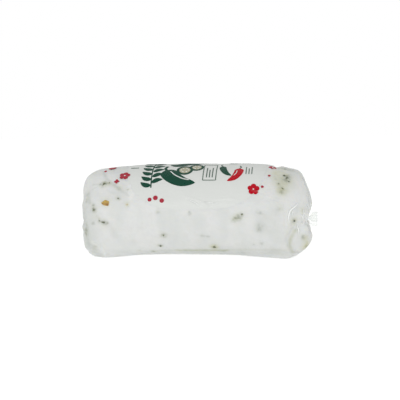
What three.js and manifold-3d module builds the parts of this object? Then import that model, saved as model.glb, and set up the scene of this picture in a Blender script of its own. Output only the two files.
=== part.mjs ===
// A 4 oz log of fresh goat cheese with jalapeno pieces, shrunk tight in a clear film wrapper.
// The wrapper is a tube of film that is pinched flat and sealed at both ends, with a short
// wavy fin past each seal. No space shows between film and cheese, so the wrapped log is one
// solid out to the film's outer face. The pepper pieces under the film stand a little proud.
//
// Millimetres, +Z up. X runs along the log and its front faces -Y. The log is slightly arched
// and stands on z = 0 on two flat spots near its ends. The origin is below the middle of its
// box, at the bottom.
import * as THREE from "three";
import { mergeVertices } from "three/addons/utils/BufferGeometryUtils.js";
import Module from "manifold-3d";

// Driving dimensions of the log
const BODY_LENGTH = 95.4; // over the two pinched ends, without the fins
const BODY_RADIUS = 19.7;
const FULLER_AT = [
  { x: 27, spread: 9, height: 0.4 },
  { x: -38, spread: 6, height: 0.15 },
];
const ARCH_RISE = 1.45; // how far the middle stands above the ends
const ARCH_SPAN = 36; // from the middle to where the log rests
const ARCH_POWER = 3.5;
const REST_FLAT = 0.35; // how much of the underside is pressed flat

// Driving dimensions of the film's ends
const FIN_HALF_WIDTH = 11;
const FIN_HALF_THICKNESS = 0.25;
const FIN_RAMP = 1.6; // how soon past the seal a fin has its full wave
const PINCH_WIDTH = 3.4; // of the groove that the seal draws into an end
const GUSSET_REACH = 17; // along the log, of the tuck at the film's side
const PLEAT_DEPTH = 0.55; // of the gathers from the seal to the shoulder
const FLAT_ROWS = 0.35; // share of a cap's rows that lie on its flat middle
const SLOPE_START = 0.33; // share of the radius where the sloping face begins
const SEAL_FADE = 0.9; // share of the radius where the seal's height no longer shows

// The two ends. start, depth, power and slope shape the shoulder as seen from the front, top,
// back and underside: the share of the radius where it begins, its length along the log, its
// squareness and the slope of the end's face. The seal pinches a groove into the face and a
// gusset into the sides.
const LEFT_END = {
  side: -1,
  start: [0.5, 0.72, 0.5, 0.86],
  depth: [11, 10, 11, 9.5],
  power: [2.2, 2.5, 2.2, 2.4],
  slope: [0.02, 0, 0.02, 0],
  pinch: 0.4,
  gusset: 0.6,
  sealHeight: -0.5,
  pleats: 15,
  phase: 0.54,
  fin: { reach: 1.4, wave: 0.5, curl: -0.8, turns: 1.3 },
};
const RIGHT_END = {
  side: 1,
  start: [0.4, 0.84, 0.4, 0.45],
  depth: [12, 8, 12, 12.5],
  power: [2, 2.6, 2, 2],
  slope: [0.05, 0.33, 0.05, 0.02],
  pinch: 1.5,
  gusset: 1.2,
  sealHeight: -2.6,
  pleats: 13,
  phase: 2.08,
  fin: { reach: 2.9, wave: 2.7, curl: 1, turns: 1.5 },
};

// Places on the skin are given as x in mm and degrees round the log, 0 at the front, 90 on top.
// A crease sinks along its line and a ridge, with a negative depth, rises.
const CREASES = [
  { line: [[41.5, -16], [39, -25], [39, -36], [40.5, -50], [42.5, -68]], width: 1.3, depth: 1.1 },
  { line: [[42, 20], [40.5, 14], [39, 6], [39, -8]], width: 0.9, depth: -0.35 },
  { line: [[45.3, 9], [45, 1]], width: 0.8, depth: -0.3 },
  { line: [[34, 72], [33, 90], [34, 108]], width: 1.2, depth: 0.35 },
  { line: [[-39.5, 67], [-36.5, 49], [-34, 40], [-31.5, 35]], width: 0.9, depth: 0.35 },
  { line: [[-40, 0], [-35, -12], [-32, -28], [-29.5, -41]], width: 2.2, depth: 0.4 },
  { line: [[-42, -35], [-39.7, -41], [-39, -56]], width: 0.9, depth: -0.3 },
];
const BACK_TURN = 192; // the back's creases are the front's, turned over to this many degrees
const SWELLS = [
  { x: 44, angle: -46, reach: 4.8, height: 2.1 },
  { x: 46, angle: 138, reach: 6, height: 0.9 },
  { x: 43, angle: 210, reach: 5, height: 0.6 },
  { x: -45.7, angle: 63, reach: 4, height: 1.05 },
  { x: -46, angle: 11, reach: 3, height: 0.35 },
  { x: -46.5, angle: -52, reach: 2.5, height: 1 },
];

// Pepper pieces that show on the front: place, size along and round the log, and its turn.
const FRONT_CHIPS = [
  { at: [-38, 44], size: [3.2, 2.2], turn: 20 },
  { at: [-31.3, 21], size: [1.9, 1.1], turn: -20 },
  { at: [-36.6, 17.5], size: [3.4, 2.9], turn: -15 },
  { at: [-27.4, 12.5], size: [1.2, 1], turn: 0 },
  { at: [-41.6, 10], size: [2.2, 1.4], turn: -25 },
  { at: [-37.6, -6], size: [3.1, 1.3], turn: -20 },
  { at: [-39.4, -2.5], size: [1.3, 1], turn: -40 },
  { at: [-45.7, -23], size: [1.6, 4.4], turn: 5 },
  { at: [-42, -42], size: [1.3, 1.2], turn: 0 },
  { at: [-14.6, 2], size: [1.6, 1.1], turn: 10 },
  { at: [-1.4, 1], size: [0.9, 1.8], turn: 0 },
  { at: [-12.7, -28], size: [2.2, 2.1], turn: 15 },
  { at: [-14.6, -46], size: [2, 1.6], turn: -10 },
  { at: [-18.4, -61], size: [1.5, 2], turn: 20 },
  { at: [18.3, -4], size: [4.1, 2], turn: 32 },
  { at: [3.5, -28.5], size: [2.8, 0.9], turn: -8 },
  { at: [8, -48], size: [2.1, 2.4], turn: 25 },
  { at: [27.2, -15.5], size: [1.8, 2.8], turn: -10 },
  { at: [27.2, 3], size: [2.3, 0.9], turn: -15 },
  { at: [27.8, -37], size: [1.2, 1.4], turn: 0 },
  { at: [38, 54], size: [2.6, 5.2], turn: -12 },
  { at: [34.8, 42], size: [1.2, 1.3], turn: 0 },
  { at: [36.4, 36], size: [3, 1.5], turn: -22 },
  { at: [35.9, 30.5], size: [1.8, 1.2], turn: -10 },
  { at: [41.2, -4], size: [1.6, 1.9], turn: 0 },
  { at: [44.9, -30], size: [1.6, 1.6], turn: 30 },
  { at: [46, -46], size: [1.2, 1.6], turn: 0 },
  { at: [37.6, 76], size: [6.2, 2.2], turn: -4 },
];
// The rest of the log carries pieces at the same density, drawn by a seeded rule.
const HIDDEN_CHIPS = { seed: 4127, cellLength: 9, cellTurn: 30, from: 92, to: 300, keep: 0.62 };
const CHIP_SIZE = { least: 1.2, most: 3.4 };
const PRINTED_LENGTH = 29; // half of the printed field on top, which hides the cheese
const PRINTED_TO = 178;
const CHIP_PROUD = 0.4;
const CHIP_HALF_DEPTH = 0.8;
const REST_CLEARANCE = 24; // degrees kept bare on each side of the underside's middle

// Rows and columns of the skin
const COLUMNS = 72;
const CAP_ROWS = 12;
const BODY_ROWS = 24;
const FIN_ROWS = 2;

const degrees = Math.PI / 180;
const clamp01 = (t) => Math.min(Math.max(t, 0), 1);
const smooth = (t) => clamp01(t) ** 2 * (3 - 2 * clamp01(t));
const bell = (t) => Math.exp(-t * t);

// A value that passes smoothly through [front, top, back, underside] round the log.
function aroundLog(angle, [front, top, back, under]) {
  const c = Math.cos(angle);
  const s = Math.sin(angle);
  return (c > 0 ? front : back) * c * c + (s > 0 ? top : under) * s * s;
}

function bodyRadius(x) {
  return FULLER_AT.reduce((r, f) => r + f.height * bell((x - f.x) / f.spread), BODY_RADIUS);
}

function axisHeight(x) {
  const fall = ARCH_RISE * (Math.abs(x) / ARCH_SPAN) ** ARCH_POWER;
  return BODY_RADIUS + ARCH_RISE - Math.min(fall, 1.25 * ARCH_RISE) - REST_FLAT;
}

// The film's gathers, from -1 on a ridge to 1 in a furrow. They are uneven round the seal.
function pleat(end, angle) {
  const a = angle + end.phase;
  const spread = 1.3 * Math.sin(2 * a);
  return Math.cos(end.pleats * a + spread) * (0.7 + 0.3 * Math.cos(3 * a + 1));
}

// Where an end's cap stands at row t, from 0 at the seal to 1 at the body: its x, its share of
// the radius, and how far its surface has turned from facing along the log to facing out.
function capStation(end, t, angle) {
  const [start, depth, power, slope] = [end.start, end.depth, end.power, end.slope].map(
    (values) => aroundLog(angle, values),
  );
  const turn = (clamp01((t - FLAT_ROWS) / (1 - FLAT_ROWS)) * Math.PI) / 2;
  const share = start * clamp01(t / FLAT_ROWS) + (1 - start) * Math.sin(turn) ** (2 / power);
  const halfHeight = FIN_HALF_THICKNESS + (BODY_RADIUS - FIN_HALF_THICKNESS) * share;
  const overSeal = halfHeight * Math.sin(angle) - end.sealHeight * smooth(share / SEAL_FADE);
  const past = Math.max(share - SLOPE_START, 0);
  const shoulder = depth * (1 - Math.cos(turn) ** (2 / power));
  const face = slope * BODY_RADIUS * past * smooth(past / 0.2);
  const groove = end.pinch * bell(overSeal / PINCH_WIDTH);
  const gatherFade = smooth(share / 0.35) * (1 - smooth((share - 0.55) / 0.45));
  const gather = PLEAT_DEPTH * pleat(end, angle) * gatherFade;
  const x = end.side * (BODY_LENGTH / 2 - shoulder - face - groove - gather);
  return { x, share, turn };
}

// Distance over the unrolled skin from one place to a line of places. The line is unrolled from
// its first corner, the short way round from the place.
function distanceToLine(x, angle, line) {
  const here = new THREE.Vector2(x, angle * BODY_RADIUS);
  const apart = line[0][1] * degrees - angle;
  const wholeTurns = Math.atan2(Math.sin(apart), Math.cos(apart)) - apart;
  const corners = line.map(
    ([lx, la]) => new THREE.Vector2(lx, (la * degrees + wholeTurns) * BODY_RADIUS),
  );
  const gaps = corners.slice(1).map((b, i) => {
    const a = corners[i];
    const step = b.clone().sub(a);
    const t = clamp01(here.clone().sub(a).dot(step) / step.lengthSq());
    return a.clone().addScaledVector(step, t).distanceTo(here);
  });
  return Math.min(...gaps);
}

const behind = CREASES.map((crease) => ({
  ...crease,
  line: crease.line.map(([x, angle]) => [x, BACK_TURN - angle]),
}));

// How far the skin stands out at a place, from its creases, ridges and swells.
function relief(x, angle) {
  const creased = [...CREASES, ...behind].reduce(
    (sum, c) => sum - c.depth * bell(distanceToLine(x, angle, c.line) / c.width),
    0,
  );
  return SWELLS.reduce((sum, s) => {
    const distance = distanceToLine(x, angle, [[s.x, s.angle], [s.x, s.angle + 0.1]]);
    return sum + s.height * bell(distance / s.reach);
  }, creased);
}

// A point of the skin. v runs from 0 at the left seal over the left cap to 1, over the body to
// 2 and over the right cap to 3 at the right seal.
function skin(v, angle) {
  const end = v < 1.5 ? LEFT_END : RIGHT_END;
  const row = Math.min(v, 3 - v, 1);
  const { x, share, turn } = capStation(end, row, angle);
  const from = capStation(LEFT_END, 1, angle).x;
  const to = capStation(RIGHT_END, 1, angle).x;
  const place = row < 1 ? x : from + (to - from) * (v - 1);
  const radius = bodyRadius(place);
  const reach = smooth((Math.abs(place) - BODY_LENGTH / 2 + GUSSET_REACH) / GUSSET_REACH);
  const overSeal = radius * Math.sin(angle) - end.sealHeight;
  const tuck = end.gusset * reach * bell(overSeal / PINCH_WIDTH);
  const halfWidth = FIN_HALF_WIDTH + (radius - tuck - FIN_HALF_WIDTH) * share;
  const halfHeight = FIN_HALF_THICKNESS + (radius - FIN_HALF_THICKNESS) * share;
  const seal = end.sealHeight * (1 - smooth(share / SEAL_FADE));
  const out = relief(place, angle) * smooth(share / 0.5);
  return new THREE.Vector3(
    place + out * end.side * Math.cos(turn),
    -halfWidth * Math.cos(angle) - out * Math.sin(turn) * Math.cos(angle),
    Math.max(
      axisHeight(place) + seal + (halfHeight + out * Math.sin(turn)) * Math.sin(angle),
      0,
    ),
  );
}

// A point of a fin, u of the way from the seal to the wavy cut edge.
function finPoint(end, u, angle) {
  const root = skin(end.side < 0 ? 0 : 3, angle);
  const across = -Math.cos(angle);
  const wave = end.fin.wave * Math.sin(Math.PI * end.fin.turns * across + end.phase);
  const tip = end.side * (BODY_LENGTH / 2 + end.fin.reach);
  const lift = (wave + end.fin.curl) * smooth(FIN_RAMP * u);
  return new THREE.Vector3(root.x + (tip - root.x) * u, root.y, root.z + lift);
}

// One closed surface from the left fin's cut edge to the right one's.
function skinGeometry() {
  const angles = Array.from({ length: COLUMNS }, (_, j) => (2 * Math.PI * j) / COLUMNS);
  const finSteps = Array.from({ length: FIN_ROWS }, (_, i) => 1 - i / FIN_ROWS);
  const capSteps = Array.from({ length: CAP_ROWS }, (_, i) => i / CAP_ROWS);
  const bodySteps = Array.from({ length: BODY_ROWS + 1 }, (_, i) => 1 + i / BODY_ROWS);
  const rightSteps = capSteps.map((v) => 3 - v).reverse();
  const rows = [
    ...finSteps.map((u) => angles.map((a) => finPoint(LEFT_END, u, a))),
    ...[...capSteps, ...bodySteps, ...rightSteps].map((v) => angles.map((a) => skin(v, a))),
    ...finSteps.reverse().map((u) => angles.map((a) => finPoint(RIGHT_END, u, a))),
  ];

  const corner = (i, j) => i * COLUMNS + ((j + COLUMNS) % COLUMNS);
  const faces = [];
  const addQuad = (a, b, c, d) => faces.push([a, b, c], [a, c, d]);
  for (let i = 0; i + 1 < rows.length; i++) {
    for (let j = 0; j < COLUMNS; j++) {
      addQuad(corner(i, j), corner(i + 1, j), corner(i + 1, j + 1), corner(i, j + 1));
    }
  }
  // A cut edge is shut by joining the fin's two layers.
  for (let j = 0; j < COLUMNS / 2; j++) {
    addQuad(corner(0, j), corner(0, j + 1), corner(0, -j - 1), corner(0, -j));
    const last = rows.length - 1;
    addQuad(corner(last, j), corner(last, -j), corner(last, -j - 1), corner(last, j + 1));
  }
  const geometry = new THREE.BufferGeometry();
  geometry.setFromPoints(rows.flat());
  geometry.setIndex(faces.filter((face) => new Set(face).size === 3).flat());
  return geometry;
}

// The row v of the skin that lies at x, found by halving.
function rowAt(x, angle) {
  let [low, high] = [FLAT_ROWS, 3 - FLAT_ROWS];
  for (let i = 0; i < 30; i++) {
    const middle = (low + high) / 2;
    [low, high] = skin(middle, angle).x < x ? [middle, high] : [low, middle];
  }
  return (low + high) / 2;
}

// A pepper piece: a squashed, angular bead that is sunk in the skin up to its proud top.
function chipGeometry({ at: [x, angle], size: [long, tall], turn }) {
  const a = angle * degrees;
  const v = rowAt(x, a);
  const step = 0.01;
  const along = skin(v + step, a).sub(skin(v - step, a)).normalize();
  const round = skin(v, a + step).sub(skin(v, a - step)).normalize();
  const out = along.clone().cross(round).normalize();
  const up = out.clone().cross(along);
  const centre = skin(v, a).addScaledVector(out, CHIP_PROUD - CHIP_HALF_DEPTH);
  const geometry = new THREE.IcosahedronGeometry(1, 0);
  geometry.scale(long / 2, tall / 2, CHIP_HALF_DEPTH);
  geometry.rotateZ(turn * degrees);
  geometry.applyMatrix4(new THREE.Matrix4().makeBasis(along, up, out).setPosition(centre));
  return geometry;
}

// Pieces for the back, the underside and the hidden parts of the ends, one to a cell.
function hiddenChips() {
  const { seed, cellLength, cellTurn, from, to, keep } = HIDDEN_CHIPS;
  let state = seed;
  const draw = () => {
    state = (state * 16807) % 2147483647;
    return state / 2147483647;
  };
  const chips = [];
  const reach = BODY_LENGTH / 2 - 1.5;
  for (let x = -reach; x < reach; x += cellLength) {
    for (let angle = from; angle < to; angle += cellTurn) {
      const place = [x + cellLength * draw(), angle + cellTurn * draw()];
      const span = CHIP_SIZE.most - CHIP_SIZE.least;
      const size = [draw(), draw()].map((d) => CHIP_SIZE.least + span * d * d);
      const turn = 180 * draw();
      const kept = draw() < keep;
      const printed = Math.abs(place[0]) < PRINTED_LENGTH && place[1] < PRINTED_TO;
      const resting = Math.abs(place[1] - 270) < REST_CLEARANCE;
      if (kept && !printed && !resting && Math.abs(place[0]) < reach) {
        chips.push({ at: place, size, turn });
      }
    }
  }
  return chips;
}

// Solids are joined as closed meshes of shared corners.
const wasm = await Module();
wasm.setup();

function toSolid(geometry) {
  const bare = geometry.clone();
  bare.deleteAttribute("normal");
  bare.deleteAttribute("uv");
  const merged = mergeVertices(bare, 1e-5);
  const vertProperties = new Float32Array(merged.attributes.position.array);
  const triVerts = new Uint32Array(merged.index.array);
  return new wasm.Manifold(new wasm.Mesh({ numProp: 3, vertProperties, triVerts }));
}

function toGeometry(solid) {
  const mesh = solid.getMesh();
  const geometry = new THREE.BufferGeometry();
  geometry.setAttribute("position", new THREE.BufferAttribute(mesh.vertProperties, 3));
  geometry.setIndex(new THREE.BufferAttribute(mesh.triVerts, 1));
  geometry.computeVertexNormals();
  return geometry;
}

function wrappedLog() {
  const chips = [...FRONT_CHIPS, ...hiddenChips()].map(chipGeometry).map(toSolid);
  const solid = chips.reduce((whole, chip) => whole.add(chip), toSolid(skinGeometry()));
  const material = new THREE.MeshStandardMaterial({
    color: new THREE.Color("rgb(219, 221, 218)"),
    roughness: 0.32,
    metalness: 0,
  });
  const mesh = new THREE.Mesh(toGeometry(solid), material);
  mesh.name = "wrapped_log";
  mesh.position.x = (LEFT_END.fin.reach - RIGHT_END.fin.reach) / 2;
  return mesh;
}

const goatCheeseLog = new THREE.Group();
goatCheeseLog.add(wrappedLog());

export default goatCheeseLog;
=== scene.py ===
# A short log of fresh goat cheese with pepper pieces, shrunk tight in clear printed film.
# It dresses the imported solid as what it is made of: the cheese, the pepper pieces in it, the
# ink on the film's inner side and the clear film with its two pinched, sealed ends.
# Tables hold millimetres in the part's design frame; meshes are written in metres.
import math
from collections import namedtuple

import bmesh
import bpy
import numpy as np
from bpy.props import FloatProperty, FloatVectorProperty, PointerProperty
from mathutils import Matrix, Vector


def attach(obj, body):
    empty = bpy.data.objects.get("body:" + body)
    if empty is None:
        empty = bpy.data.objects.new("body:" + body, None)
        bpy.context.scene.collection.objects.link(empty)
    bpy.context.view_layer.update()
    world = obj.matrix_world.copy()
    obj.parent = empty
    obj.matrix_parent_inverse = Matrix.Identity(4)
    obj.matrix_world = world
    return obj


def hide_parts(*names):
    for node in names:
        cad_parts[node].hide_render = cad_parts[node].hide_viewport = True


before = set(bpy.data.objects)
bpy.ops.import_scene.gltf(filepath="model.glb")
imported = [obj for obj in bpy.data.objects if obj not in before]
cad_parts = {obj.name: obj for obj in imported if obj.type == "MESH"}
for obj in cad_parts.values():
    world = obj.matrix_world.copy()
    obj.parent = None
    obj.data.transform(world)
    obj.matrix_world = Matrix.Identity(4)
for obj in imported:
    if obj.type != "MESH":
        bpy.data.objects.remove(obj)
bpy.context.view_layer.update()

bl_info = {
    "name": "Wrapped cheese log",
    "version": (1, 0, 0),
    "blender": (4, 5, 0),
    "location": "View3D > Sidebar > Cheese log",
    "description": "A film wrapped log of fresh cheese with pepper pieces, on a pale floor",
    "category": "Object",
}

MM = 0.001
NODE = "wrapped_log"

# The log's form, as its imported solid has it
BODY_LENGTH = 95.4
BODY_RADIUS = 19.7
# Where the body is a little fuller: a place, how far that reaches and its height
FULLER_AT = ((27, 9, 0.4), (-38, 6, 0.15))
ARCH_RISE = 1.45
ARCH_SPAN = 36
ARCH_POWER = 3.5
ARCH_MOST = 1.25
REST_FLAT = 0.35
FIN_HALF_WIDTH = 11
FIN_HALF_THICKNESS = 0.25
FIN_RAMP = 1.6
PINCH_WIDTH = 3.4
GUSSET_REACH = 17
PLEAT_DEPTH = 0.55
PLEAT_SWAY = 1.3
FLAT_ROWS = 0.35
SLOPE_START = 0.33
SEAL_FADE = 0.9

# Shoulders are given as seen from the front, top, back and underside. The tint is how dark the
# shade painted into the gathers' furrows is, a grey laid on the cheese under them.
LEFT_END = {
    "side": -1, "start": (0.5, 0.72, 0.5, 0.86), "depth": (11, 10, 11, 9.5),
    "power": (2.2, 2.5, 2.2, 2.4), "slope": (0.02, 0, 0.02, 0), "pinch": 0.4, "gusset": 0.6,
    "seal_height": -0.5, "pleats": 15, "phase": 0.54, "tint": 0.28,
    "reach": 1.4, "wave": 0.5, "curl": -0.8, "turns": 1.3,
}
RIGHT_END = {
    "side": 1, "start": (0.4, 0.84, 0.4, 0.45), "depth": (12, 8, 12, 12.5),
    "power": (2, 2.6, 2, 2), "slope": (0.05, 0.33, 0.05, 0.02), "pinch": 1.5, "gusset": 1.2,
    "seal_height": -2.6, "pleats": 13, "phase": 2.08, "tint": 0.08,
    "reach": 2.9, "wave": 2.7, "curl": 1, "turns": 1.5,
}
ENDS = (LEFT_END, RIGHT_END)
SHIFT = (LEFT_END["reach"] - RIGHT_END["reach"]) / 2

# Creases of the skin: a line of (x, degrees round the log), its width and its depth
CREASES = (
    (((41.5, -16), (39, -25), (39, -36), (40.5, -50), (42.5, -68)), 1.3, 1.1),
    (((42, 20), (40.5, 14), (39, 6), (39, -8)), 0.9, -0.35),
    (((45.3, 9), (45, 1)), 0.8, -0.3),
    (((34, 72), (33, 90), (34, 108)), 1.2, 0.35),
    (((-39.5, 67), (-36.5, 49), (-34, 40), (-31.5, 35)), 0.9, 0.35),
    (((-40, 0), (-35, -12), (-32, -28), (-29.5, -41)), 2.2, 0.4),
    (((-42, -35), (-39.7, -41), (-39, -56)), 0.9, -0.3),
)
BACK_TURN = 192
# Swells of the skin: a place, how far it reaches and its height
SWELLS = (
    (44, -46, 4.8, 2.1), (46, 138, 6, 0.9), (43, 210, 5, 0.6),
    (-45.7, 63, 4, 1.05), (-46, 11, 3, 0.35), (-46.5, -52, 2.5, 1),
)

# Fine wrinkles that only the film has: a line, its width and its height
STREAKS = (
    (((-3.5, 22), (2, 17), (6.5, 9)), 0.45, 0.16),
    (((9.5, 18), (14, 19.5), (19, 17)), 0.5, 0.14),
    (((12, 12), (17, 13.5), (21, 12.5)), 0.4, 0.1),
    (((-43, 37), (-39, 43)), 0.4, 0.15),
    (((24, 30), (30, 24), (35, 22)), 0.45, 0.1),
    (((33, 20), (36.5, 12), (37.5, 2)), 0.45, 0.14),
    (((-5, 150), (4, 158), (9, 166)), 0.45, 0.16),
    (((-19, 164), (-12, 161), (-6, 168)), 0.45, 0.14),
    (((20, 152), (26, 160), (33, 166)), 0.45, 0.14),
    (((-36, 150), (-30, 160), (-29, 172)), 0.6, 0.16),
    (((5, 205), (14, 212), (22, 210)), 0.5, 0.12),
    (((-24, 220), (-15, 214), (-7, 218)), 0.5, 0.12),
)
# How high the film stands over a pepper piece, in its gathers and in its wrinkles, and at most,
# how far a piece lifts it, as a share of the piece's length, how many fine gathers there are to a
# plain one, and how soon past the caps they end
RISE = {"piece": 0.34, "gather": 0.12, "fine": 0.1, "swell": 0.06, "ripple": 0.02, "most": 0.4}
PIECE_SPREAD = 0.55
FINE_GATHERS = 3.3
CAP_FADE = 9
# Folds of film that lie double and show pale, a milk that partly paints highlights along them: a
# line, its width and how milky it is
PALE_FOLD_HIGHLIGHTS = (
    (((42.6, 19), (41.2, 14), (39.6, 9), (39.1, 3), (39.2, -6)), 1.1, 0.95),
    (((40.9, 11), (40.6, 7), (40.7, 2)), 0.8, 0.9),
    (((44.6, 14), (45, 8), (44.5, 0), (44.6, -9)), 0.8, 0.8),
    (((42.1, -8), (42.9, -18), (42.6, -25)), 0.9, 0.9),
    (((45.6, 6), (46, -2), (45.8, -12)), 0.6, 1),
    (((-2.6, 18), (0, 14.5), (3, 10)), 0.7, 0.8),
    (((4, 14), (7, 13.6), (11, 12)), 0.6, 0.8),
)
# Milky patches of loose film, partly painted highlights: a line, its width and its strength
MILKY_HIGHLIGHT_PATCHES = (
    (((41.6, -28), (42.6, -40)), 1.5, 0.25),
    (((-26.7, 36), (-25.7, 24)), 1.2, 0.2),
    (((-37, -52), (-30, -58)), 2, 0.12),
)
# Folds along the gathers of both ends, milky strips that partly paint glints on them: the least
# and most width, how milky they are, and the length over the skin that all rows of an end's cap
# stand for
GATHER_WIDTH = (0.6, 1.1)
GATHER_MILK_HIGHLIGHT = 0.7
GATHER_SPAN = 20
# Where on a cap's rows these folds begin and stop, as the least and what is added to it at most,
# and how far they sway in radians
GATHER_FIRST = (0.03, 0.09)
GATHER_LAST = (0.3, 0.24)
GATHER_SWAY = 0.05
# How milky the film itself is on the gathers' ridges, and on a streak for its height; this milk
# partly paints highlights on them
GATHER_HAZE_HIGHLIGHT = 0.3
STREAK_HAZE_HIGHLIGHT = 1.2
# Painted shade and painted light on the cheese: folds, creases and a seam along the underside
# darkened as shade, some tinted green by moisture and one gold, and pale lines and patches painted
# on as light: a line, its width, its tint and strength
FOLD_TINTS_AND_PAINTED_SHADING = (
    (((-43, -34), (-41.6, -40), (-39.6, -48), (-39.3, -55), (-39.4, -63)), 0.9, "pale", 0.25),
    (((-26.6, 40), (-26.4, 32), (-26, 21)), 1.4, "pale", 0.35),
    (((41.8, -17), (40.6, -22), (39.6, -29), (39, -38), (39.6, -43), (41.3, -62)), 0.7, "green", 0.3),
    (((42.4, 14), (42.2, 0)), 0.5, "grey", 0.16),
    (((-40, 70), (-37.2, 52), (-34, 42), (-31, 33), (-27, 24)), 0.6, "grey", 0.3),
    (((-38, 46), (-34.5, 42), (-31, 35)), 1, "green", 0.16),
    (((-43, 45), (-37.5, 43.5)), 0.4, "grey", 0.36),
    (((-36.5, 34), (-33, 28)), 0.5, "grey", 0.12),
    (((-45, 31), (-43.4, 19)), 0.8, "grey", 0.28),
    (((-36.4, -8), (-34, -17), (-32.6, -28)), 1.4, "grey", 0.13),
    (((-45.5, -40), (-43, -52), (-42, -62)), 2.4, "grey", 0.3),
    (((-43, -44), (-42.4, -49)), 0.7, "green", 0.12),
    (((-16, -58), (-2, -57.5), (10, -56.5), (23, -51), (38, -45)), 0.8, "green", 0.1),
    (((-8, -58), (2, -57.5), (13, -56)), 0.9, "green", 0.28),
    (((-26, -68), (-10, -65), (6, -64), (20, -61), (32, -56)), 3.6, "grey", 0.18),
    (((-4, -64), (6, -62)), 2.6, "grey", 0.16),
    (((33, -52), (41, -50)), 3, "grey", 0.14),
    (((39.5, -14), (40.4, -38)), 2.4, "grey", 0.08),
    (((45.6, -30), (46.2, -40)), 1.2, "gold", 0.25),
    (((-46.2, 30), (-46, 0), (-46, -36)), 2.2, "grey", 0.2),
    (((29, -2), (29.4, -14)), 3, "grey", 0.13),
    (((34, 4), (34.5, -16)), 4.5, "grey", 0.08),
    (((-43, 2), (-43.6, -26)), 4, "grey", 0.12),
    (((-33, -46), (-27, -52)), 5, "pale", 0.15),
    (((-42, 56), (-40, 44)), 4, "pale", 0.15),
    (((44.5, 52), (46, 22)), 3.5, "pale", 0.15),
    (((45.6, 0), (46.2, -18)), 2.2, "pale", 0.35),
    (((-42, 72), (-26, 76)), 4, "grey", 0.06),
)

Fleck = namedtuple("Fleck", "x angle long tall turn core heart stain reach strength")
# Pepper pieces on the front: place, size along and round the log and turn, the share of the size
# that shows as a solid piece (0 is buried) and how dark it looks through the cheese round that,
# then the kind, reach and strength of the tint round it
FRONT_FLECKS = (
    (-38, 44, 3.2, 2.2, 20, 0.36, 0.48, "green", 2, 0.2),
    (-31.3, 21, 1.9, 1.1, -20, 0.42, 0.25, "green", 1, 0.12),
    (-36.6, 17.5, 3.4, 2.9, -15, 1.02, 0, "gold", 2.2, 0.2),
    (-27.4, 12.5, 1.2, 1, 0, 0.35, 0, "gold", 1, 0.35),
    (-41.6, 10, 2.2, 1.4, -25, 0.4, 0.6, "green", 1.4, 0.15),
    (-37.6, -6, 3.1, 1.3, -20, 0.5, 0.5, "green", 1.5, 0.14),
    (-39.4, -2.5, 1.3, 1, -40, 0, 0.22, "green", 1.1, 0.12),
    (-45.7, -23, 1.6, 4.4, 5, 0, 0.5, "green", 1.7, 0.16),
    (-42, -42, 1.3, 1.2, 0, 0, 0.3, "green", 1.4, 0.15),
    (-14.6, 2, 1.6, 1.1, 10, 0, 0.14, "grey", 1.1, 0.2),
    (-1.4, 1, 0.9, 1.8, 0, 0, 0.35, "grey", 0.9, 0.25),
    (-12.7, -28, 2.2, 2.1, 15, 0.3, 0.4, "green", 1.6, 0.16),
    (-14.6, -46, 2, 1.6, -10, 0.4, 0.4, "green", 1.2, 0.2),
    (-18.4, -61, 1.5, 2, 20, 0, 0.36, "green", 1.4, 0.25),
    (18.3, -4, 4.1, 2, 32, 0, 0.5, "green", 1.6, 0.25),
    (3.5, -28.5, 2.8, 0.9, -8, 0, 0.16, "grey", 1.3, 0.15),
    (8, -48, 2.1, 2.4, 25, 0.55, 0.35, "gold", 1.6, 0.6),
    (27.2, -15.5, 1.8, 2.8, -10, 0, 0.38, "grey", 2, 0.3),
    (27.2, 3, 2.3, 0.9, -15, 0, 0.24, "grey", 1.1, 0.2),
    (27.8, -37, 1.2, 1.4, 0, 0, 0.18, "grey", 1, 0.1),
    (38, 54, 2.6, 5.2, -12, 0.3, 0.5, "green", 3.6, 0.18),
    (34.8, 42, 1.2, 1.3, 0, 0.3, 0.25, "green", 2, 0.1),
    (36.4, 36, 3, 1.5, -22, 0.38, 0.25, "green", 2.2, 0.18),
    (35.9, 30.5, 1.8, 1.2, -10, 0, 0.4, "green", 1.6, 0.18),
    (41.2, -4, 1.6, 1.9, 0, 0.42, 0.45, "gold", 2, 0.25),
    (44.9, -30, 1.6, 1.6, 30, 0, 0.34, "green", 1.8, 0.12),
    (46, -46, 1.2, 1.6, 0, 0, 0.4, "gold", 2, 0.4),
    (37.6, 76, 6.2, 2.2, -4, 0, 0.42, "green", 2.6, 0.18),
)
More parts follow.
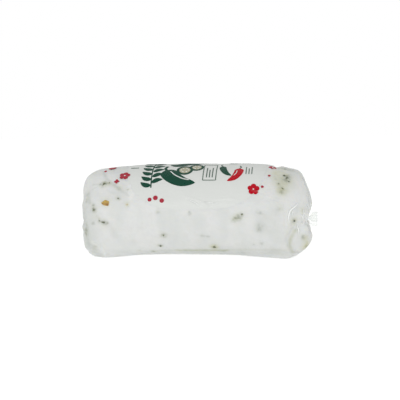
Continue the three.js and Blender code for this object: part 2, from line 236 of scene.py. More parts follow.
# Small crumbs of the same pepper, buried ones and mere tints, that stand too low to shape the solid
FRONT_CRUMBS = (
    (20.1, 0.2, 0.8, 0.7, 20, 1, 0.15, "green", 1.1, 0.15),
    (16.9, -6, 1, 0.8, 32, 0, 0.12, "green", 1.2, 0.16),
    (-41.8, 15.5, 1.1, 1.3, 10, 0, 0.4, "green", 1.2, 0.15),
    (-42, -7.5, 0.8, 0.8, 0, 0, 0.4, "grey", 0.9, 0.3),
    (35.4, 10, 2, 1, 20, 0, 0.15, "green", 1.6, 0.12),
    (-36.1, -8.2, 1, 0.6, 15, 0, 0.45, "green", 0.9, 0.1),
    (38.9, 49, 0.9, 1.2, 30, 0.6, 0.3, "green", 1.3, 0.1),
    (-35.9, 45, 0.5, 0.4, 30, 1, 0.2, "green", 0.9, 0.2),
    (44.6, 12, 0.8, 1.2, 0, 0, 0.12, "gold", 1.3, 0.25),
    (-24, -56, 0.8, 0.6, 0, 0, 0.2, "green", 1.2, 0.1),
    (24.5, -40, 0.8, 0.7, 0, 0, 0.2, "grey", 1, 0.12),
    (-27.5, 32, 0.7, 0.5, 20, 0, 0.4, "green", 1, 0.2),
    (-40.6, 1.5, 0.5, 0.4, 0, 0, 0.15, "green", 0.8, 0.1),
    (-39.3, -3.8, 0.6, 0.6, 0, 0.8, 0.15, "green", 0.8, 0.1),
    (-44.4, 34, 0.6, 1.6, 10, 0, 0.1, "grey", 1.2, 0.1),
    (-45.4, -12, 0.5, 1.4, 0, 0, 0.35, "grey", 1.2, 0.2),
    (33.4, 50, 1, 1.6, 30, 0, 0.25, "green", 2.4, 0.16),
    (41.6, 44, 1.2, 1.6, 10, 0, 0, "green", 2, 0.04),
    (5.4, -29.5, 2.4, 0.7, -10, 0, 0.3, "grey", 1, 0.12),
    (34.5, 62, 1, 1, 0, 0, 0, "gold", 3.4, 0.3),
    (36.5, 38, 1, 1, 0, 0, 0, "gold", 3.2, 0.25),
    (37, 58, 1, 0.9, 0, 1, 0.35, "green", 1, 0.1),
    (-39.4, 43.6, 1, 0.9, 0, 0, 0.35, "green", 1, 0.1),
    (-45.3, 24, 0.6, 1.6, 0, 0, 0.55, "grey", 0.9, 0.2),
)
# The rest of the log carries pieces at the same density, drawn by a seeded rule
HIDDEN_FLECKS = {"seed": 4127, "length": 9, "turn": 30, "from": 92, "to": 300, "keep": 0.62, "margin": 1.5}
HIDDEN_CORES = (0.5, 0, 0.34, 0.6, 0, 0.42, 0.3)
HIDDEN_CRUMBS = {"seed": 4138, "count": 46, "margin": 2, "solid": 0.3}
# How dark a hidden piece looks and how strong its tint is: a cut one, a buried one, one that has
# to stay faint because it lies where the photograph shows none, and a crumb
CUT_LOOK = (0.55, 0.3)
BURIED_LOOK = (0.4, 0.25)
FAINT_LOOK = (0.1, 0.1)
CRUMB_LOOK = (0.3, 0.15)
# One in so many pieces has a gold tint, starting after this many
GOLD_TURN = (5, 3)
# How far a tint reaches: a share of its piece's length, and a crumb's in mm
TINT_REACH = 0.8
CRUMB_TINT_REACH = 1.2
FLECK_SIZE = (1.2, 3.4)
CRUMB_SIZE = (0.4, 0.9)
PRINTED_LENGTH = 29
PRINTED_TO = 178
UNDERSIDE = 270
REST_CLEARANCE = 24
# The photograph shows the log from the first of these degrees, over 0, to the second
SEEN_FROM = 278
HORIZON = 104
# Tints kept on the cheese: the pepper's own, and grey, green and pale ones that also carry painted shade
# and painted light
STAINS_AND_PAINTED_SHADING = ("green", "gold", "grey", "pale", "heart")

# The print's white field, seen unrolled: half its length, half its arc, and its squareness, and
# where on the way out it begins to lie down on the cheese
FIELD = (29.5, 29.3, 3)
FIELD_RIM = 0.93

# The photograph's camera and the way to its front light, in the part's frame
AIM = (-0.0002, 0, 0.02475)
CAMERA_AZIMUTH = 7
CAMERA_ELEVATION = 5
CAMERA_ROLL = -0.55
CAMERA_LENS = 83.86
SENSOR = 36
LAMP_WAY = (-0.1, -1, 0.22)


# The skin's form, on arrays of numbers

def clamp01(t):
    return np.clip(t, 0, 1)


def smooth(t):
    return clamp01(t) ** 2 * (3 - 2 * clamp01(t))


def bell(t):
    return np.exp(-t * t)


def around_log(angle, values):
    front, top, back, under = values
    c, s = np.cos(angle), np.sin(angle)
    return np.where(c > 0, front, back) * c * c + np.where(s > 0, top, under) * s * s


def body_radius(x):
    return BODY_RADIUS + sum(height * bell((x - at) / spread) for at, spread, height in FULLER_AT)


def axis_height(x):
    fall = ARCH_RISE * (np.abs(x) / ARCH_SPAN) ** ARCH_POWER
    return BODY_RADIUS + ARCH_RISE - np.minimum(fall, ARCH_MOST * ARCH_RISE) - REST_FLAT


def pleat(end, angle):
    """The film's gathers, from -1 on a ridge to 1 in a furrow."""
    a = angle + end["phase"]
    return np.cos(end["pleats"] * a + PLEAT_SWAY * np.sin(2 * a)) * (0.7 + 0.3 * np.cos(3 * a + 1))


def furrow_angle(end, index):
    """Where round the log the end's film folds inward."""
    a = 2 * math.pi * index / end["pleats"]
    for _ in range(8):
        a = (2 * math.pi * index - PLEAT_SWAY * math.sin(2 * a)) / end["pleats"]
    return a - end["phase"]


def cap_station(end, t, angle):
    """x, share of the radius and turn from along the log to outward, t of the way from the seal."""
    keys = ("start", "depth", "power", "slope")
    start, depth, power, slope = (around_log(angle, end[key]) for key in keys)
    turn = clamp01((t - FLAT_ROWS) / (1 - FLAT_ROWS)) * math.pi / 2
    share = start * clamp01(t / FLAT_ROWS) + (1 - start) * np.sin(turn) ** (2 / power)
    half_height = FIN_HALF_THICKNESS + (BODY_RADIUS - FIN_HALF_THICKNESS) * share
    over_seal = half_height * np.sin(angle) - end["seal_height"] * smooth(share / SEAL_FADE)
    past = np.maximum(share - SLOPE_START, 0)
    shoulder = depth * (1 - np.cos(turn) ** (2 / power))
    face = slope * BODY_RADIUS * past * smooth(past / 0.2)
    groove = end["pinch"] * bell(over_seal / PINCH_WIDTH)
    fade = smooth(share / 0.35) * (1 - smooth((share - 0.55) / 0.45))
    gather = PLEAT_DEPTH * pleat(end, angle) * fade
    return end["side"] * (BODY_LENGTH / 2 - shoulder - face - groove - gather), share, turn


def line_distance(x, angle, line):
    """Distance over the unrolled skin to a line of (x, degrees), the short way to its first corner."""
    nearest = np.full(np.shape(x), 1e9)
    apart = math.radians(line[0][1]) - angle
    apart = np.arctan2(np.sin(apart), np.cos(apart))
    corners = []
    for line_x, line_angle in line:
        corners.append((line_x - x, (apart + math.radians(line_angle - line[0][1])) * BODY_RADIUS))
    for (ax, ay), (bx, by) in zip(corners, corners[1:]):
        sx, sy = bx - ax, by - ay
        t = clamp01(-(ax * sx + ay * sy) / np.maximum(sx * sx + sy * sy, 1e-9))
        nearest = np.minimum(nearest, np.hypot(ax + t * sx, ay + t * sy))
    return nearest


def both_ways(line):
    """A line on the front, and the back's copy of it."""
    return line, tuple((x, BACK_TURN - angle) for x, angle in line)


def relief(x, angle):
    """How far the skin stands out at a place, from its creases, ridges and swells."""
    out = np.zeros(np.shape(x))
    for line, width, depth in CREASES:
        for way in both_ways(line):
            out -= depth * bell(line_distance(x, angle, way) / width)
    for at, turned, reach, height in SWELLS:
        spot = ((at, turned), (at, turned + 0.1))
        out += height * bell(line_distance(x, angle, spot) / reach)
    return out


def skin(v, angle, lift=0.0, edge=FIN_HALF_THICKNESS):
    """Points of the skin, raised by lift. v runs 0 to 1 over the left cap, to 2 over the body and
    to 3 over the right cap; edge is half the film's thickness at the seals."""
    v, angle = np.broadcast_arrays(np.asarray(v, float), np.asarray(angle, float))
    left = v < 1.5
    keys = ("side", "gusset", "seal_height")
    side, gusset, seal_height = (np.where(left, LEFT_END[key], RIGHT_END[key]) for key in keys)
    row = np.minimum(np.minimum(v, 3 - v), 1)
    stations = zip(*(cap_station(end, row, angle) for end in ENDS))
    x, share, turn = (np.where(left, a, b) for a, b in stations)
    start, stop = (cap_station(end, np.ones_like(angle), angle)[0] for end in ENDS)
    place = np.where(row < 1, x, start + (stop - start) * (v - 1))
    radius = body_radius(place)
    reach = smooth((np.abs(place) - BODY_LENGTH / 2 + GUSSET_REACH) / GUSSET_REACH)
    over_seal = radius * np.sin(angle) - seal_height
    tuck = gusset * reach * bell(over_seal / PINCH_WIDTH)
    half_width = FIN_HALF_WIDTH + (radius - tuck - FIN_HALF_WIDTH) * share
    half_height = edge + (radius - edge) * share
    seal = seal_height * (1 - smooth(share / SEAL_FADE))
    out = relief(place, angle) * smooth(share / 0.5) + lift
    across = out * np.sin(turn)
    x = place + out * side * np.cos(turn)
    y = -half_width * np.cos(angle) - across * np.cos(angle)
    z = axis_height(place) + seal + (half_height + across) * np.sin(angle)
    return np.stack((x, y, np.maximum(z, -np.minimum(lift, 0))), axis=-1)


def row_at(x, angle):
    """The row of the skin that lies at x, found by halving."""
    low = np.full(np.shape(angle), FLAT_ROWS)
    high = np.full(np.shape(angle), 3 - FLAT_ROWS)
    for _ in range(26):
        middle = (low + high) / 2
        short = skin(middle, angle)[..., 0] < x
        low, high = np.where(short, middle, low), np.where(short, high, middle)
    return (low + high) / 2


# Where the pepper pieces lie

def lehmer(seed):
    """The seeded draws that the solid's own pieces came from."""
    state = seed
    while True:
        state = (state * 16807) % 2147483647
        yield state / 2147483647


def draw_size(draws, sizes):
    """A length along the log and one round it, more often small than large."""
    least, most = sizes
    return [least + (most - least) * next(draws) ** 2 for _ in range(2)]


def under_print(x, degrees):
    return abs(x) < PRINTED_LENGTH and degrees < PRINTED_TO


def hidden_flecks():
    rule = HIDDEN_FLECKS
    draws = lehmer(rule["seed"])
    last = BODY_LENGTH / 2 - rule["margin"]
    flecks = []
    x = -last
    while x < last:
        angle = rule["from"]
        while angle < rule["to"]:
            at = x + rule["length"] * next(draws)
            turned = angle + rule["turn"] * next(draws)
            long, tall = draw_size(draws, FLECK_SIZE)
            turn = 180 * next(draws)
            kept = next(draws) < rule["keep"] and abs(at) < last
            resting = abs(turned - UNDERSIDE) < REST_CLEARANCE
            if kept and not under_print(at, turned) and not resting:
                core = HIDDEN_CORES[len(flecks) % len(HIDDEN_CORES)]
                stain = "gold" if len(flecks) % GOLD_TURN[0] == GOLD_TURN[1] else "green"
                heart, strength = CUT_LOOK if core else BURIED_LOOK
                if turned > SEEN_FROM or turned < HORIZON:
                    core, stain = 0, "grey"
                    heart, strength = FAINT_LOOK
                reach = TINT_REACH * max(long, tall)
                flecks.append(Fleck(at, turned, long, tall, turn, core, heart, stain, reach, strength))
            angle += rule["turn"]
        x += rule["length"]
    return flecks


def hidden_crumbs():
    rule = HIDDEN_CRUMBS
    draws = lehmer(rule["seed"])
    heart, strength = CRUMB_LOOK
    crumbs = []
    while len(crumbs) < rule["count"]:
        at = (2 * next(draws) - 1) * (BODY_LENGTH / 2 - rule["margin"])
        turned = HORIZON + (UNDERSIDE - REST_CLEARANCE - HORIZON) * next(draws)
        long, tall = draw_size(draws, CRUMB_SIZE)
        turn = 180 * next(draws)
        if not under_print(at, turned):
            core = int(next(draws) < rule["solid"])
            stain = "green" if core else "grey"
            crumbs.append(
                Fleck(at, turned, long, tall, turn, core, heart, stain, CRUMB_TINT_REACH, strength)
            )
    return crumbs


class Flecks:
    """All the pepper pieces, with the point and the directions of the skin under each."""

    def __init__(self):
        front, crumbs = ([Fleck(*row) for row in rows] for rows in (FRONT_FLECKS, FRONT_CRUMBS))
        beads = [*front, *hidden_flecks()]
        self.rows = [*beads, *crumbs, *hidden_crumbs()]
        self.beads = len(beads)
        angle = np.radians([row.angle for row in self.rows])
        v = row_at(np.array([row.x for row in self.rows], float), angle)
        step = 0.01
        self.points = skin(v, angle)
        self.along = unit(skin(v + step, angle) - skin(v - step, angle))
        around = unit(skin(v, angle + step) - skin(v, angle - step))
        self.out = unit(np.cross(self.along, around))
        self.up = np.cross(self.out, self.along)

    def near(self, points, index, spread):
        """From 1 at a piece's middle to nothing round it."""
        return bell(np.linalg.norm(points - self.points[index], axis=-1) / spread)

    def near_bead(self, points, index, share):
        """The same for a piece that shapes the film, with a share of its length as the spread."""
        row = self.rows[index]
        return self.near(points, index, share * max(row.long, row.tall))

    def over(self, points, index):
        """The same as near, but in the piece's own long shape."""
        row = self.rows[index]
        c, s = math.cos(math.radians(row.turn)), math.sin(math.radians(row.turn))
        lengthwise = c * self.along[index] + s * self.up[index]
        sideways = c * self.up[index] - s * self.along[index]
        offset = points - self.points[index]
        far = (offset @ lengthwise / (PIECE_SPREAD * row.long)) ** 2
        far += (offset @ sideways / (PIECE_SPREAD * row.tall)) ** 2
        return bell(np.sqrt(far + (offset @ self.out[index]) ** 2))


def unit(vectors):
    return vectors / np.linalg.norm(vectors, axis=-1, keepdims=True)


def caps(v, angle):
    """Each end, the rows from its seal to a place, and the share of the radius there."""
    for end, row in zip(ENDS, (v, 3 - v)):
        yield end, row, cap_station(end, np.minimum(row, 1), angle)[1]


def film_rise(v, angle, flecks, wrinkle):
    """How far the film stands off its plain form, over the pieces and in its fine wrinkles."""
    base = skin(v, angle)
    x = base[..., 0]
    rise = np.zeros(np.shape(x))
    for index in range(flecks.beads):
        height = RISE["piece"] * min(1, 0.4 + flecks.rows[index].core)
        rise += height * flecks.near_bead(base, index, PIECE_SPREAD)
    for line, width, height in STREAKS:
        rise += wrinkle * height * bell(line_distance(x, angle, line) / width)
    for end, row, share in caps(v, angle):
        fade = smooth((share - 0.3) / 0.3) * bell(CAP_FADE * np.maximum(row - 1, 0))
        turns = round(FINE_GATHERS * end["pleats"])
        fine = np.cos(turns * angle + 2.1 * np.sin(3 * angle + end["phase"]))
        gather = pleat(end, angle) * smooth((share - 0.5) / 0.3)
        rise += wrinkle * fade * (RISE["fine"] * fine - RISE["gather"] * gather)
    swell = np.sin(x * 0.21 + 3 * np.sin(angle)) * np.sin(5 * angle + x * 0.11)
    ripple = np.sin(x * 0.83 + 2 * np.sin(2 * angle)) * np.sin(9 * angle - x * 0.3)
    return np.minimum(rise + wrinkle * (RISE["swell"] * swell + RISE["ripple"] * ripple), RISE["most"])


def film_haze_and_highlights(v, angle):
    """Where the film's folds lie double and look milky, from 0 to 1: a milk that partly paints highlights.
    """
    x = skin(v, angle)[..., 0]
    haze_and_highlight = np.zeros(np.shape(x))
    ridges = ((line, width, -depth) for line, width, depth in CREASES if depth < 0)
    for line, width, strength in (*MILKY_HIGHLIGHT_PATCHES, *ridges):
        for way in both_ways(line):
            haze_and_highlight += strength * bell(line_distance(x, angle, way) / width)
    for line, width, height in STREAKS:
        haze_and_highlight += STREAK_HAZE_HIGHLIGHT * height * bell(line_distance(x, angle, line) / (0.6 * width))
    for end, row, share in caps(v, angle):
        fade = smooth(share / 0.2) * (1 - smooth((share - 0.6) / 0.35)) * (row < 1)
        haze_and_highlight += GATHER_HAZE_HIGHLIGHT * fade * smooth((pleat(end, angle) - 0.2) / 0.6)
    return clamp01(haze_and_highlight)


# Meshes

CRISP_ANGLE = math.radians(50)
SEAM = 1e-7
FLAT_SEAM = 1e-5
# Rows of the skin from one seal to the other: start, stop and count. The film's go on into its fins
CHEESE_ROWS = ((0, 1, 60), (1, 2, 190), (2, 3, 60))
CHEESE_COLUMNS = 270
FILM_ROWS = ((-1, 0, 9), (0, 1, 62), (1, 2, 136), (2, 3, 62), (3, 4, 9))
FILM_COLUMNS = 280
# How much of the gap under the film the cheese fills over a piece, and how wide round it
PIECE_FILL = 0.45
FILL_SPREAD = 0.7
# The fins: the share of their length over which they thin, their ripple in mm, how milky they are
# between and on the crimps, and the crimps' pitch in mm
FIN_THINS_OVER = 0.45
FIN_RIPPLE = 0.12
FIN_HAZE = (0.04, 0.06)
CRIMP_PITCH = 0.9
# How far from the log's end the shade painted into the gathers' furrows begins, and over what
# length it grows, in mm
FURROW_SHADE_REACH = (7, 3)
# Rings of corners that a chopped bit's cuts lie between: height, reach and count
BIT_RINGS = ((0.45, 0.5, 5), (0.1, 0.56, 6), (-0.42, 0.3, 4))
BIT_SEED = 977
BIT_BEVEL = 0.05
# Half a bit's depth as a share of its least width, for a bead and for a crumb, and how proud a
# crumb stands beside a bead
BEAD_DEPTH = 0.5
CRUMB_DEPTH = 0.3
CRUMB_PROUD = 0.2
ORANGE_FLECKS = (2, 3)
FLESH_FLECKS = {"from": 5, "share": 0.3}


def lattice(rows, columns, place, keep=None):
    """A grid whose corners go where place puts them, given each one's row and column from 0 to 1.
    With a name in keep, each corner keeps its column as an attribute."""
    bm = bmesh.new()
    layer = bm.verts.layers.float.new(keep) if keep else None
    bmesh.ops.create_grid(bm, x_segments=rows, y_segments=columns, size=0.5)
    spots = np.array([corner.co for corner in bm.verts])[:, :2] + 0.5
    points = place(spots[:, 0], spots[:, 1])
    for corner, point, spot in zip(bm.verts, points, spots):
        corner.co = point
        if keep:
            corner[layer] = spot[1]
    return bm


def close_up(bm):
    """Merges the seam and the poles, and turns the faces out."""
    bmesh.ops.remove_doubles(bm, verts=bm.verts, dist=SEAM)
    bmesh.ops.dissolve_degenerate(bm, edges=bm.edges, dist=SEAM)
    bmesh.ops.recalc_face_normals(bm, faces=bm.faces)
    return bm


def pour(bm, whole, copied_to=None):
    """Moves one mesh into another. With a matrix, a copy that it has placed goes there too."""
    loose = bpy.data.meshes.new("loose")
    bm.to_mesh(loose)
    bm.free()
    whole.from_mesh(loose)
    if copied_to:
        loose.transform(copied_to)
        whole.from_mesh(loose)
    bpy.data.meshes.remove(loose)


def add_piece(name, bm, material, slot=None, crisp=False):
    """Makes the object at the origin, with its place in its mesh, and, given a slot, lets it ride with the
    log.
    A crisp piece keeps its sharp edges when it is shaded."""
    mesh = bpy.data.meshes.new(name)
    for face in bm.faces:
        face.smooth = True
    for edge in bm.edges:
        edge.smooth = not crisp or (edge.is_manifold and edge.calc_face_angle() < CRISP_ANGLE)
    bm.to_mesh(mesh)
    bm.free()
    piece = bpy.data.objects.new(name, mesh)
    bpy.context.scene.collection.objects.link(piece)
    mesh.materials.append(material)
    if slot:
        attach(piece, "root")
    return piece


def to_metres(points):
    return (points + np.array((SHIFT, 0, 0))) * MM


def spread_rows(parts):
    """Row positions v from parts of (start, stop, count)."""
    stations = [parts[0][0]]
    for start, stop, count in parts:
        stations += [start + (stop - start) * (i + 1) / count for i in range(count)]
    return np.array(stations)


def cheese_mesh(gap, flecks):
    stations = spread_rows(CHEESE_ROWS)
    rows = len(stations) - 1

    def place(row, column):
        v = stations[np.rint(row * rows).astype(int)]
        angle = 2 * math.pi * column
        base = skin(v, angle)
        lift = np.full(len(v), -gap)
        for index in range(flecks.beads):
            lift += PIECE_FILL * gap * flecks.near_bead(base, index, FILL_SPREAD)
        return to_metres(skin(v, angle, lift, edge=0.0))

    return close_up(lattice(rows, CHEESE_COLUMNS, place))


def write_stains_and_painted_shading(piece, flecks):
    """Keeps on the cheese how strongly the pepper's juice tints it, and the shade and light painted on it.
    """
    corners = np.array([corner.co for corner in piece.data.vertices]) / MM - np.array((SHIFT, 0, 0))
    x = corners[:, 0]
    angle = np.arctan2(corners[:, 2] - axis_height(x), -corners[:, 1])
    amounts = {kind: np.zeros(len(corners)) for kind in STAINS_AND_PAINTED_SHADING}
    for index, row in enumerate(flecks.rows):
        amounts[row.stain] += row.strength * flecks.near(corners, index, row.reach)
        amounts["heart"] += row.heart * flecks.over(corners, index)
    out = np.hypot(corners[:, 1], corners[:, 2] - axis_height(x)) / BODY_RADIUS
    # Painted shade and painted light along the folds' lines, laid on the outer skin only
    for line, width, stain, strength in FOLD_TINTS_AND_PAINTED_SHADING:
        for way in both_ways(line):
            shown = bell(line_distance(x, angle, way) / width) * smooth((out - 0.5) / 0.3)
            amounts[stain] += strength * shown
    # Painted shade: the grey tint darkens the cheese in each end's furrows, as strongly as the end's tint
    fade = smooth(out / 0.25) * (1 - smooth((out - 0.6) / 0.2))
    for end in ENDS:
        on_end = smooth((x * end["side"] - BODY_LENGTH / 2 + FURROW_SHADE_REACH[0]) / FURROW_SHADE_REACH[1])
        amounts["grey"] += end["tint"] * on_end * fade * smooth((pleat(end, angle) - 0.1) / 0.8)
    for kind, amount in amounts.items():
        layer = piece.data.attributes.new(kind + "_stain", "FLOAT", "POINT")
        layer.data.foreach_set("value", clamp01(amount).astype(np.float32))


def chopped_bit(draws):
    """A bit about one across as a knife leaves it: uneven flat cuts with softened edges."""
    bit = bmesh.new()
    for height, reach, count in BIT_RINGS:
        for i in range(count):
            turn = 2 * math.pi * (i + 0.8 * next(draws)) / count
            out = reach * (0.74 + 0.4 * next(draws))
            up = height * (0.86 + 0.2 * next(draws))
            bit.verts.new((out * math.cos(turn), out * math.sin(turn), up))
    hull = bmesh.ops.convex_hull(bit, input=bit.verts)
    unused = hull["geom_interior"] + hull["geom_unused"]
    spare = {part for part in unused if isinstance(part, bmesh.types.BMVert)}
    bmesh.ops.delete(bit, geom=list(spare), context="VERTS")
    bmesh.ops.bevel(
        bit, geom=bit.edges[:], affect="EDGES", offset=BIT_BEVEL, segments=2, profile=0.5, material=-1
    )
    return bit


def pepper_meshes(flecks, proud):
    """Diced pepper, sorted by what it shows."""
    kinds = {kind: bmesh.new() for kind in ("pepper_skin_bits", "pepper_flesh_bits", "pepper_orange_bits")}
    draws = lehmer(BIT_SEED)
    for index, row in enumerate(flecks.rows):
        choice = next(draws)
        if not row.core:
            continue
        bead = index < flecks.beads
        kind = "pepper_skin_bits"
        if index in ORANGE_FLECKS:
            kind = "pepper_orange_bits"
        elif bead and index >= FLESH_FLECKS["from"] and choice < FLESH_FLECKS["share"]:
            kind = "pepper_flesh_bits"
        depth = min(row.long, row.tall) * (BEAD_DEPTH * row.core if bead else CRUMB_DEPTH)
        top = proud if bead else CRUMB_PROUD * proud
        size = Matrix.Diagonal((row.long * row.core, row.tall * row.core, 2 * depth, 1))
        turn = Matrix.Rotation(math.radians(row.turn), 4, "Z")
        ways = Matrix((flecks.along[index], flecks.up[index], flecks.out[index])).transposed()
        centre = Vector(flecks.points[index] + flecks.out[index] * (top - depth)) + Vector((SHIFT, 0, 0))
        bit = chopped_bit(draws)
        place = Matrix.Scale(MM, 4) @ Matrix.Translation(centre) @ ways.to_4x4() @ turn @ size
        bmesh.ops.transform(bit, matrix=place, verts=bit.verts)
        bmesh.ops.recalc_face_normals(bit, faces=bit.faces)
        pour(bit, kinds[kind])
    return kinds


# The print, drawn on the unrolled film: x along the log in mm, and degrees up round it from the
# front, which become an arc in mm. The back half is the same, turned half round.

# Each ink takes one of the print's colours, and lies so many layers above the white one
INKS = {
    "green": ("green", 2), "red": ("red", 2), "dull_red": ("dull_red", 2), "tan": ("tan", 1),
    "grey": ("grey", 2), "pale": ("white", 3),
}
# How far worn ink goes towards a light grey
WORN_TONE = 0.7
WHITE_WEAR = 0.1
COLOUR_WEAR = 0.004
# The sprig's stem and its two rows of leaves: a row's first height, its side and the way it points
SPRIG_X = -17.9
SPRIG_ROWS = ((36, -0.1, 158), (40, 0.1, 22))
SPRIG_STEP = 9.5
SPRIG_PAIRS = 6
LEAF_LENGTH = 4.9
LEAF_FATNESS = 0.46
LEAF_BEND = 0.12
# An ink, a line and its width
PODS = (
    ("green", ((-12.4, 63), (-10, 51), (-5.4, 42), (0.4, 39.5)), 7.2),
    ("green", ((2.2, 88), (-3, 85), (-8, 77), (-11.5, 80)), 5),
    ("green", ((11.2, 73), (11.6, 64), (13, 56), (15.2, 51)), 3),
    ("red", ((18.3, 66), (18, 57), (16.4, 48), (13.6, 42)), 3.9),
)
# An ink, a line, its width and its steps
STROKES = (
    ("green", ((SPRIG_X, 33), (SPRIG_X - 0.3, 60), (SPRIG_X, 90)), 0.5, 30),
    ("green", ((-12.3, 62), (-12.9, 67), (-12.2, 73)), 1.2, 16),
    ("green", ((11.2, 72), (10.5, 76), (10.9, 80)), 0.5, 16),
    ("green", ((18.2, 65), (18.9, 69), (18.4, 74)), 0.5, 16),
    ("grey", ((3.4, 43.5), (3.4, 78)), 0.4, 12),
    ("grey", ((3.4, 78), (8.8, 78)), 0.4, 12),
    ("grey", ((8.8, 78), (8.8, 43.5)), 0.4, 12),
    ("grey", ((8.8, 43.5), (3.4, 43.5)), 0.4, 12),
    ("grey", ((-28, 72), (-24.6, 71)), 0.7, 16),
    ("pale", ((-10.6, 60), (-8.4, 52.5), (-5.2, 46.5), (-2.4, 44.5)), 0.5, 16),
    ("pale", ((17.4, 61), (17.1, 56), (16.2, 51.5)), 0.35, 16),
)
# Three plain lines side by side: x and degrees of the first, its top, how much shorter the middle
# one is, and the width
PLAIN_LINES = ((4.9, 48, 68, 5, 0.45), (21.2, 54, 70, 4, 0.4))
LINE_GAP = 1.2
PETALS = 5
# An ink, a place, a radius and a turn
FLOWERS = (
    ("red", 24.6, 31.3, 2.5, 0.3), ("dull_red", 32, 74.5, 1.7, 0.8),
    ("dull_red", -29.8, 54.5, 2.35, 0.1), ("dull_red", -36.6, 79.5, 1.8, 0.5),
)
# An ink, a place and a radius
DOTS = (
    ("dull_red", 28.2, 35.2, 0.58), ("dull_red", 30.85, 53.3, 0.55), ("dull_red", -39.1, 71, 0.6),
    ("dull_red", -18.1, 17.5, 0.85), ("dull_red", -15.7, 19.5, 1), ("dull_red", -13, 16, 0.95),
    ("pale", 24.6, 31.3, 0.32), ("pale", -29.8, 54.5, 0.36), ("pale", 32, 74.5, 0.3),
)
# A small blunt star of the dull red: its place and its radius
STAR = (-32.8, 45.5, 1.15)
# A pepper slice: its place, its radius, its rim's hole as a share of that, the radius of its
# middle, and the radius of its ring of seeds
SLICES = ((-4.6, 63, 3.5, 0.68, 2.5, 1.5), (0.2, 70, 3.1, 0.66, 2.2, 1.3))
SEEDS = 6
SEED_RADIUS = 0.36


def arc(degrees):
    return math.radians(degrees) * BODY_RADIUS


def unrolled(line):
    return [(x, arc(degrees)) for x, degrees in line]


def patch(centre, outline, rings=5, spokes=24, inner=0.0, turn=0.0):
    """A flat spot whose edge lies at outline(angle) from its centre, with an optional hole."""
    cx, cy = centre

    def place(row, column):
        around = 2 * math.pi * column
        radius = outline(around) * (inner + (1 - inner) * row)
        points = (cx + radius * np.cos(around + turn), cy + radius * np.sin(around + turn))
        return np.stack((*points, np.zeros(len(row))), axis=-1)

    bm = lattice(rings, spokes, place)
    bmesh.ops.remove_doubles(bm, verts=bm.verts, dist=FLAT_SEAM)
    return bm


def ribbon(line, width, steps=24, across=4, keep=None):
    """A flat strip along a smooth line of (x, arc); width(t) is its full width along it."""
    knots = np.array(line, float)
    padded = np.vstack((2 * knots[0] - knots[1], knots, 2 * knots[-1] - knots[-2]))

    def along(t):
        spot = clamp01(t) * (len(knots) - 1)
        first = np.minimum(spot.astype(int), len(knots) - 2)
        f = (spot - first)[:, None]
        a, b, c, d = (padded[first + shift] for shift in range(4))
        square, cube = 2 * a - 5 * b + 4 * c - d, 3 * b - a - 3 * c + d
        return 0.5 * (2 * b + (c - a) * f + square * f**2 + cube * f**3)

    def place(row, column):
        middle = along(row)
        heading = unit(along(row + 1e-3) - along(row - 1e-3))
        beside = np.stack((-heading[:, 1], heading[:, 0]), axis=-1)
        points = middle + beside * (width(row) * (column - 0.5))[:, None]
        return np.column_stack((points, np.zeros(len(row))))

    bm = lattice(steps, across, place, keep)
    bmesh.ops.remove_doubles(bm, verts=bm.verts, dist=FLAT_SEAM)
    return bm


def leaf(root, length, turn):
    """A leaf's blade from its root, pointing turn degrees from +x."""
    way = np.array((math.cos(math.radians(turn)), math.sin(math.radians(turn))))
    side = np.array((-way[1], way[0]))
    start = np.array(root, float)
    line = [start, start + length * (0.5 * way + LEAF_BEND * side), start + length * way]

    def taper(t):
        return length * LEAF_FATNESS * np.sin(np.pi * clamp01(t) ** 0.8) ** 0.8

    return ribbon(line, taper, 18)


def stroke(line, width, steps=16):
    return ribbon(unrolled(line), lambda t: np.full(len(t), width), steps, 1)


def disc(centre, radius, rings, spokes, inner=0.0):
    return patch(centre, lambda a: np.full(len(a), radius), rings, spokes, inner)


def flower(centre, radius, turn):
    def edge(a):
        return radius * (0.68 + 0.32 * np.abs(np.cos(PETALS * a / 2)) ** 0.6)

    return patch(centre, edge, rings=4, spokes=80, turn=turn)


def pod(line, width):
    """A pepper's body: blunt at the stem, drawn out to a point."""
    def taper(t):
        return width * np.minimum(1, (t / 0.16) ** 0.5 + 0.02) * (1 - t**2.6) ** 0.75

    return ribbon(unrolled(line), taper, 28, 6)


def printed_shapes():
    """Each ink's shapes, on the front half."""
    shapes = {ink: [] for ink in INKS}
    for step in range(SPRIG_PAIRS):
        for first, side, turn in SPRIG_ROWS:
            root = (SPRIG_X + side, arc(first + SPRIG_STEP * step))
            shapes["green"].append(leaf(root, LEAF_LENGTH, turn))
    for ink, line, width in PODS:
        shapes[ink].append(pod(line, width))
    for ink, line, width, steps in STROKES:
        shapes[ink].append(stroke(line, width, steps))
    for x, low, high, shorter, width in PLAIN_LINES:
        for i in range(3):
            at = x + LINE_GAP * i
            shapes["grey"].append(stroke(((at, low), (at, high - shorter * (i % 2))), width))
    for ink, x, degrees, radius, turn in FLOWERS:
        shapes[ink].append(flower((x, arc(degrees)), radius, turn))
    for ink, x, degrees, radius in DOTS:
        shapes[ink].append(disc((x, arc(degrees)), radius, 2, 20))
    x, degrees, radius = STAR
    star = patch((x, arc(degrees)), lambda a: radius * (0.85 + 0.15 * np.cos(4 * a)), 3, 40)
    shapes["dull_red"].append(star)
    for x, degrees, radius, hole, middle, seed_ring in SLICES:
        centre = (x, arc(degrees))
        shapes["green"].append(disc(centre, radius, 2, 32, hole))
        shapes["tan"].append(disc(centre, middle, 3, 24))
        for i in range(SEEDS):
            a = 2 * math.pi * i / SEEDS
            spot = (x + seed_ring * math.cos(a), centre[1] + seed_ring * math.sin(a))
            shapes["pale"].append(disc(spot, SEED_RADIUS, 2, 20))
    return shapes


